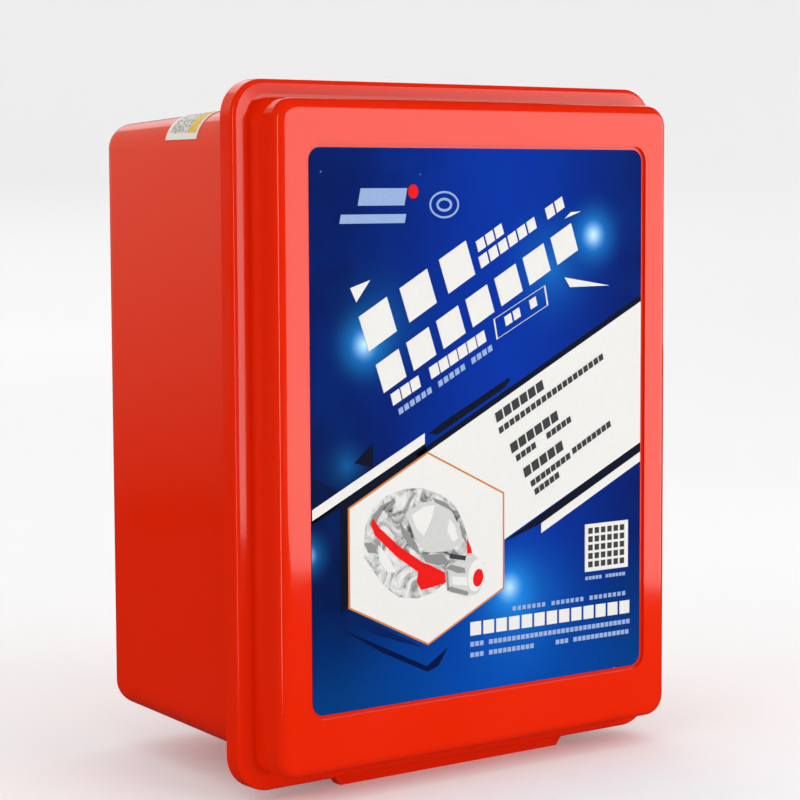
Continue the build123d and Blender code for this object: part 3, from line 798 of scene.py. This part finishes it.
def clear_film():
    s = Shader("clear_film", (0.93, 0.96, 0.97), Roughness=0.04, IOR=1.42)
    s.bsdf.inputs["Transmission Weight"].default_value = 1.0
    s.rough(s.noise(90.0, 4.0, 0.6), 0.35, 0.75, 0.02, 0.09)
    s.bump(s.noise(26.0, 2.0, 0.5), 0.0004, 0.25)
    return s.mat


def woven(name, dark, light, rib=390.0, cross=520.0, roughness=0.75):
    """Narrow woven tape: ribs one way, yarns the other."""
    s = Shader(name, Roughness=roughness)
    ribs = s.wave(rib, "X")
    yarns = s.wave(cross, "Z", 0.4)
    depth = s.wave(cross, "Y", 0.4)
    weave = s.math("MULTIPLY", ribs, s.math("MAXIMUM", yarns, depth))
    tone = s.noise(240.0, 3.0, 0.6)
    s.colour(s.mix(s.math("MULTIPLY", weave, tone), dark, light))
    s.bsdf.inputs["Sheen Weight"].default_value = 0.25
    s.bump(weave, 0.00025, 0.7)
    return s.mat


def thread(name, colour):
    s = Shader(name, Roughness=0.6)
    dark = tuple(c * 0.6 for c in colour)
    twist = s.wave(900.0, "DIAGONAL")
    s.colour(s.mix(twist, dark, colour))
    s.bump(twist, 0.00006, 0.6)
    return s.mat


def leaflet_paper():
    """Folded instruction sheet with greyed lines standing for its text."""
    s = Shader("leaflet_paper", Roughness=0.8)
    low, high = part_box("instruction_leaflet")
    x, _, z = s.split()
    lines = s.map_range(s.wave(78.0, "Z"), 0.62, 0.72)
    words = s.map_range(s.noise(330.0, 2.0, 0.5, s.mapping((1, 0, 0.05))), 0.42, 0.46)
    inside = s.math("MULTIPLY", s.map_range(s.math("ABSOLUTE", x), 0.0385, 0.0383),
                    s.map_range(s.math("ABSOLUTE", s.math("SUBTRACT", z, (low.z + high.z) / 2)),
                                0.0565, 0.0563))
    printed = s.math("MULTIPLY", s.math("MULTIPLY", lines, words), inside)
    s.colour(s.mix(s.math("MULTIPLY", printed, 0.8), (0.85, 0.84, 0.80), (0.12, 0.13, 0.16)))
    s.bump(s.noise(700.0, 4.0, 0.6), 0.00004, 0.5)
    return s.mat


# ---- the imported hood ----
VISOR_RADIUS = (VISOR_EDGE ** 2 + VISOR_BULGE ** 2) / (2 * VISOR_BULGE)
VISOR_AXIS = VISOR_FRONT + VISOR_RADIUS           # depth of the axis the visor curves about


def visor_face(x):
    """Depth of the visor's outer face at x, in millimetres."""
    return VISOR_AXIS - math.sqrt(VISOR_RADIUS ** 2 - x * x)


def box_mesh(bm, low, high):
    made = bmesh.ops.create_cube(bm, size=1.0)["verts"]
    for v in made:
        v.co = Vector([low[k] + (v.co[k] + 0.5) * (high[k] - low[k]) for k in range(3)]) * MM


def read_points(mesh):
    points = np.empty(len(mesh.vertices) * 3)
    mesh.vertices.foreach_get("co", points)
    return points.reshape(-1, 3)


def write_points(mesh, points):
    mesh.vertices.foreach_set("co", np.asarray(points).ravel())
    mesh.update()


def applied(obj):
    """Replace the object's mesh with what its modifiers make of it."""
    graph = bpy.context.evaluated_depsgraph_get()
    mesh = bpy.data.meshes.new_from_object(obj.evaluated_get(graph))
    obj.modifiers.clear()
    obj.data = mesh


def remeshed(obj, voxel):
    """Even quads over the object, softened at its edges."""
    modifier = obj.modifiers.new("remesh", "REMESH")
    modifier.mode = "VOXEL"
    modifier.voxel_size = voxel
    softener = obj.modifiers.new("smooth", "SMOOTH")
    softener.factor = 0.5
    softener.iterations = 4
    applied(obj)


def crumple(obj, grow, pressure, frames, cap, pinned=None):
    """Cloth simulation: the skin grows a little, so it buckles into folds. cap is in metres."""
    scale = 10.0
    start = read_points(obj.data)
    write_points(obj.data, start * scale)
    modifier = obj.modifiers.new("cloth", "CLOTH")
    cloth = modifier.settings
    cloth.quality = 6
    cloth.mass = 0.25
    cloth.tension_stiffness = 20
    cloth.compression_stiffness = 20
    cloth.shear_stiffness = 8
    cloth.bending_stiffness = 0.35
    cloth.shrink_min = -grow
    cloth.use_pressure = pressure > 0
    cloth.uniform_pressure_force = pressure
    cloth.effector_weights.gravity = 0
    if pinned is not None:
        group = obj.vertex_groups.new(name="pinned")
        group.add([int(i) for i in np.nonzero(pinned)[0]], 1.0, "REPLACE")
        cloth.vertex_group_mass = "pinned"
    modifier.point_cache.frame_start = 1
    modifier.point_cache.frame_end = frames
    scene = bpy.context.scene
    for frame_number in range(1, frames + 1):
        scene.frame_set(frame_number)
    graph = bpy.context.evaluated_depsgraph_get()
    result = obj.evaluated_get(graph).to_mesh()
    moved = read_points(result) / scale
    obj.evaluated_get(graph).to_mesh_clear()
    obj.modifiers.clear()
    obj.vertex_groups.clear()
    scene.frame_set(1)
    step = np.nan_to_num(moved - start)
    length = np.linalg.norm(step, axis=1)
    step *= (np.minimum(length, cap) / np.maximum(length, 1e-9))[:, None]
    write_points(obj.data, start + step)


def subdivided(obj):
    obj.modifiers.new("subdivision", "SUBSURF").levels = 1
    applied(obj)


def make_hood(foil):
    """Folded hood: one soft bundle with a fold down each side of the mask."""
    bm = bmesh.new()
    box_mesh(bm, (-60.5, -25.5, 119.5), (60.5, 14.5, 179.0))
    for side in (-1, 1):
        low, high = sorted((side * 49.6, side * 59.4))
        box_mesh(bm, (low, 14.0, 20.5), (high, 42.0, 121.0))
        box_mesh(bm, (low, 2.0, 119.5), (high, 42.0, 123.0))
    mesh = bpy.data.meshes.new("hood")
    bm.to_mesh(mesh)
    bm.free()
    hood = link("folded_hood", mesh)
    remeshed(hood, 0.0027)
    points = read_points(hood.data) / MM
    pinned = np.zeros(len(points), bool)
    for i, (x, y, z) in enumerate(points):
        if y < -20 and abs(x) < 52 and z > LOBE_TOP:
            reach = unit((52 - abs(x)) / 8)
            high = unit((181 - z) / 4) * unit((z - LOBE_TOP) / 4)
            within = unit((39 - abs(x)) / 5) * unit((z - 126) / 4) * unit((174 - z) / 4)
            target = visor_face(min(abs(x), 50)) + 1.7 + 4.2 * within
            share = reach * high * min(1.0, (-20 - y) / 3)
            points[i, 1] = y * (1 - share) + target * share
            pinned[i] = abs(x) < 47 and within < 0.05 and share > 0.7
        else:
            wander = 1.6 * mnoise.noise((x * 0.03, 0, z * 0.03))
            pleat = 1.1 * math.sin(0.62 * y + 0.05 * x + wander)
            if z > LOBE_TOP and abs(x) > 56:
                points[i, 0] -= math.copysign(max(pleat, 0.0) * 1.2, x)
            elif z > LOBE_TOP and (z > 176 or z < 123):
                points[i, 2] -= math.copysign(max(pleat, 0.0), z - 150)
            elif z < LOBE_TOP:
                fold = 1.3 * math.sin(0.75 * y + 0.9 * mnoise.noise((0, y * 0.05, z * 0.04)))
                points[i, 0] -= math.copysign(max(fold, 0.0), x) * (1 if abs(x) > 54.5 else -1)
    push = np.array([mnoise.noise_vector(Vector(p) * 0.085) for p in points])
    points += push * 0.7 * (~pinned)[:, None]
    write_points(hood.data, points * MM)
    crumple(hood, 0.16, 0.6, 16, 0.0026, pinned)
    subdivided(hood)
    points = read_points(hood.data) / MM
    normals = np.empty(len(points) * 3)
    hood.data.vertices.foreach_get("normal", normals)
    normals = normals.reshape(-1, 3)
    for i, p in enumerate(points):
        ridge = 1 - abs(mnoise.noise(Vector((p[0], p[1] * 1.2, p[2] * 0.8)) * 0.16))
        crisp = 1 - abs(mnoise.noise(Vector((p[0] + 40, p[1], p[2])) * 0.4))
        points[i] -= normals[i] * (0.75 * ridge ** 6 + 0.3 * crisp ** 5)
    upper = points[:, 2] > LOBE_TOP
    front = np.where(np.abs(points[:, 0]) > 46, -27.4, -36.0)
    depths = points[:, 1]
    points[:, 1] = np.where(upper, np.clip(depths, front, 17.2), np.clip(depths, 12.6, 43.6))
    points[:, 0] = np.clip(points[:, 0], -62.2, 62.2)
    lobe = ~upper
    points[lobe, 0] = np.sign(points[lobe, 0]) * np.clip(np.abs(points[lobe, 0]), 48.3, 61.0)
    points[:, 2] = np.clip(points[:, 2], 18.6, 180.9)
    near = (np.abs(points[:, 0]) <= 47) & upper
    depth = VISOR_AXIS - np.sqrt(VISOR_RADIUS ** 2 - np.minimum(np.abs(points[:, 0]), 47) ** 2)
    points[near, 1] = np.maximum(points[near, 1], depth[near] + 1.35)
    hood.data.materials.append(foil)
    hood.data.shade_smooth()
    write_points(hood.data, points * MM)
    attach(hood, "case")
    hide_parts("hood_body")


def make_collar(elastic):
    """Gathered neck seal, folded flat: upright gathers between two flat elastic edges."""
    around, levels, squareness = 420, 46, 0.42
    half_x, half_y, mid_y, low, high = 54.5, 11.2, 31.0, 125.0, 177.0
    verts, faces = [], []
    for j in range(levels):
        t = j / (levels - 1)
        edge = min(t, 1 - t)
        z = low + (high - low) * t
        shut = min(1.0, edge / 0.10)
        round_off = math.sqrt(max(0.0, 1 - (1 - shut) ** 2))
        gather = unit((edge - 0.12) / 0.14)
        for a, c, q in circle(around):
            x = math.copysign(abs(c) ** squareness, c) * (half_x - 3.0 * (1 - round_off))
            y = math.copysign(abs(q) ** squareness, q) * half_y * (0.18 + 0.82 * round_off)
            wander = mnoise.noise((x * 0.06, y * 0.2, z * 0.05)) * 1.8
            ripple = math.sin(a * 52 + wander) * (0.25 + 0.85 * gather)
            soft = mnoise.noise((x * 0.09, y * 0.1 + 7, z * 0.07)) * 1.2
            out = Vector((c * 0.4, q, 0)).normalized()
            verts.append(((x + out.x * (ripple + soft)) * MM,
                          (mid_y + y + out.y * (ripple + soft)) * MM, z * MM))
    for j in range(levels - 1):
        faces += joined((j + 1) * around, j * around, around)
    for j, z in ((0, low - 0.4), (levels - 1, high + 0.4)):
        centre = len(verts)
        verts.append((0, mid_y * MM, z * MM))
        for k in range(around):
            faces.append((j * around + k, j * around + (k + 1) % around, centre))
    collar = add_piece("neck_seal", verts, faces, elastic, stands_for=("neck_collar",),
                       slot="collar_elastic", sharp=75.0)


def make_mask_lip(silicone):
    """Soft rolled edge around the half mask's face opening."""
    path, steps = [], 160
    for a, c, q in circle(steps):
        x = math.copysign(abs(c) ** 0.72, c) * 43.4
        z = 67.0 + math.copysign(abs(q) ** 0.72, q) * 47.4
        y = 43.2 - 0.6 * math.cos(2 * a)
        path.append(Vector((x, y, z)))
    verts, faces, sides = [], [], 14
    for k in range(steps):
        ahead, behind = path[(k + 1) % steps], path[k - 1]
        along = (ahead - behind).normalized()
        out = Vector((0, 1, 0)).cross(along).normalized()
        for _, c, q in circle(sides):
            verts.append((path[k] + out * c * 2.3 + Vector((0, 1, 0)) * q * 1.7) * MM)
    for k in range(steps):
        faces += joined((k + 1) % steps * sides, k * sides, sides)
    add_piece("mask_sealing_lip", verts, faces, silicone, slot="silicone", sharp=80.0)


def make_canister(tin):
    """Rolled tin: ribbed tube, and a front cover with pressed rings round its neck."""
    tube = [(-30.4, 37.8), (-30.4, 38.45)]
    for centre in (-23.0, -20.0, -6.0, -3.0):
        for step in (-1.2, -0.8, -0.4, 0.0, 0.4, 0.8, 1.2):
            bead = 0.55 * math.cos(step / 1.2 * math.pi / 2) ** 2
            tube.append((centre + step, 38.45 + bead))
    tube += [(3.9, 38.45), (3.9, 37.8)]
    lathe("canister_tube", tube, CANISTER_AXIS, tin, 160, stands_for=("canister_body",),
          slot="tin")
    cover = [(-28.6, 38.6), (-28.6, 39.0), (-28.9, 39.25), (-31.2, 39.3), (-31.5, 39.0),
             (-31.55, 38.4), (-31.3, 37.9), (-30.7, 37.4), (-30.7, 36.4), (-31.3, 35.6),
             (-31.5, 34.9)]
    for radius in (31.0, 25.5, 20.5):
        for step in (1.5, 1.0, 0.5, 0.0, -0.5, -1.0, -1.5):
            cover.append((-31.5 + 0.5 * math.cos(step / 1.5 * math.pi / 2) ** 2, radius + step))
    cover += [(-31.5, 16.4), (-31.8, 15.6), (-32.4, 15.1), (-34.9, 15.0), (-35.3, 14.6),
              (-35.4, 14.0), (-35.3, 13.3), (-35.0, 13.0), (-30.5, 13.0), (-30.5, 37.6),
              (-29.6, 38.5)]
    lathe("canister_front_end", cover, CANISTER_AXIS, tin, 160,
          stands_for=("canister_front_cover",), slot="tin")


def make_stitching(white_thread, dark_thread):
    runs = []
    for inset in (0.9, 2.9):
        x_edge, low, high = VISOR_EDGE - inset, 120.0 + inset, 180.0 - inset
        steps = [x_edge * (k / 12 - 1) for k in range(25)]
        bottom = [(x, visor_face(x) - 0.45, low) for x in steps]
        top = [(x, visor_face(x) - 0.45, high) for x in reversed(steps)]
        runs.append(bottom + [(x_edge, visor_face(x_edge) - 0.45, high)])
        runs.append(top + [(-x_edge, visor_face(x_edge) - 0.45, low)])
    stitches("visor_stitching", runs, white_thread, slot="binding_tape")
    runs = []
    for side in (-1, 1):
        low_x, high_x = side * STRAP_X - 4.6, side * STRAP_X + 4.6
        y = STRAP_FACE
        box = [(low_x, y, 166.5), (high_x, y, 166.5), (high_x, y, 176.5), (low_x, y, 176.5),
               (low_x, y, 166.5)]
        runs += [box, [box[0], box[2]], [box[1], box[3]]]
    stitches("strap_stitching", runs, dark_thread, 1.5, 0.6, 0.2, slot="webbing")


def make_bed(name, node, front, back, grain, material):
    """Bed of granules: a disc whose faces are lumpy with grains."""
    steps = 150
    rings = int(BED_RADIUS / (grain * 0.55))
    rims, verts, faces = [], [], []
    for depth, out in ((front, -1), (back, 1)):
        sheet = []
        for j in range(1, rings + 1):
            r_here = BED_RADIUS * j / rings
            for _, c, q in circle(steps):
                x, z = r_here * c, r_here * q
                spread = mnoise.voronoi(Vector((x, depth, z)) / grain)[0][0]
                lump = min(spread, 1.0) * 0.45 * grain * (0 if j == rings else 1)
                sheet.append((x * MM, (depth - out * lump) * MM, (CANISTER_AXIS + z) * MM))
        base = len(verts)
        rims.append(base + (rings - 1) * steps)
        verts += sheet
        centre = len(verts)
        verts.append((0, (depth - out * 0.2) * MM, CANISTER_AXIS * MM))
        faces += [(centre, base + k, base + (k + 1) % steps) for k in range(steps)]
        for j in range(rings - 1):
            faces += joined(base + j * steps, base + (j + 1) * steps, steps)
    faces += joined(*rims, steps)
    add_piece(name, verts, faces, material, stands_for=(node,), slot=NODE_SLOT[node], sharp=60.0)


def make_leaflet(paper):
    """Leaflet with two fold lines, pressed into the lid."""
    low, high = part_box("instruction_leaflet")
    columns, rows = 40, 60
    verts, faces = [], []
    for back in (0, 1):
        for j in range(rows + 1):
            for k in range(columns + 1):
                x = low.x + (high.x - low.x) * k / columns
                z = low.z + (high.z - low.z) * j / rows
                third = abs((j / rows * 3) % 1 - 0.5) * 2
                wave = 0.00045 * (1 - third) + 0.0002 * mnoise.noise((x * 40, 0, z * 40))
                y = low.y + 0.00002 + max(wave, 0.0) + back * 0.00012
                verts.append((x, y, z))
    size = (rows + 1) * (columns + 1)
    for j in range(rows):
        for k in range(columns):
            a = j * (columns + 1) + k
            b = a + columns + 1
            faces.append((a, a + 1, b + 1, b))
            faces.append((size + a, size + b, size + b + 1, size + a + 1))
    line = columns + 1
    rim = [(k, k + 1) for k in range(columns)]
    rim += [(j * line + columns, (j + 1) * line + columns) for j in range(rows)]
    rim += [(rows * line + k + 1, rows * line + k) for k in range(columns)]
    rim += [((j + 1) * line, j * line) for j in range(rows)]
    faces += [(a, size + a, size + b, b) for a, b in rim]
    add_piece("leaflet", verts, faces, paper, body="lid", stands_for=("instruction_leaflet",),
              slot="leaflet_paper", sharp=70.0)


def make_interior():
    tin = tin_plate()
    steel = screen_steel()
    silicone = moulded("silicone_rubber", (0.012, 0.012, 0.014), (0.022, 0.022, 0.025), 0.42)
    valve = moulded("valve_plastic", (0.015, 0.015, 0.017), (0.03, 0.03, 0.032), 0.5)
    buckle = moulded("buckle_plastic", (0.010, 0.010, 0.011), (0.02, 0.02, 0.022), 0.38)
    rubber = moulded("plug_rubber", (0.50, 0.012, 0.008), (0.62, 0.02, 0.012), 0.48)
    plastic = moulded("frame_plastic", (0.52, 0.012, 0.008), (0.64, 0.018, 0.01), 0.34)
    paint(tin, "canister_rear_cover")
    paint(steel, "front_screen", "middle_screen", "rear_screen", "retaining_ring")
    paint(fibre_paper(), "particulate_filter")
    paint(silicone, "outlet_gasket", "half_mask", "inhalation_valve_disc", "exhalation_valve_disc")
    paint(valve, "inhalation_valve_seat", "exhalation_valve_seat", "exhalation_valve_cover")
    paint(rubber, "inlet_plug", "outlet_plug")
    paint(plastic, "mask_frame")
    paint(clear_film(), "visor")
    paint(woven("binding_tape", (0.008, 0.008, 0.009), (0.05, 0.05, 0.055)), "visor_binding")
    paint(woven("red_webbing", (0.30, 0.006, 0.006), (0.66, 0.02, 0.016)), "left_head_strap",
          "right_head_strap")
    paint(buckle, "left_strap_buckle", "right_strap_buckle")
    make_hood(aluminised_fabric())
    make_collar(woven("collar_elastic", (0.012, 0.012, 0.014), (0.055, 0.055, 0.06), 300.0, 300.0))
    make_mask_lip(silicone)
    make_canister(tin)
    carbon = granules("carbon_granules", (0.006, 0.006, 0.006), (0.035, 0.035, 0.036), 700.0)
    catalyst = granules("catalyst_granules", (0.05, 0.026, 0.012), (0.13, 0.075, 0.035), 600.0)
    make_bed("carbon_granule_bed", "carbon_bed", -19.4, -9.6, 1.7, carbon)
    make_bed("catalyst_granule_bed", "catalyst_bed", -8.6, -0.6, 2.0, catalyst)
    white_thread = thread("white_thread", (0.72, 0.71, 0.67))
    make_stitching(white_thread, thread("dark_thread", (0.04, 0.04, 0.04)))
    make_leaflet(leaflet_paper())


make_camera()
make_studio()
shell = red_shell()
paint(shell, "rear_case", "front_lid")
paint(label_film(), "front_label")
make_label_print()
paint(sticker_paper(), "seal_sticker")
make_interior()
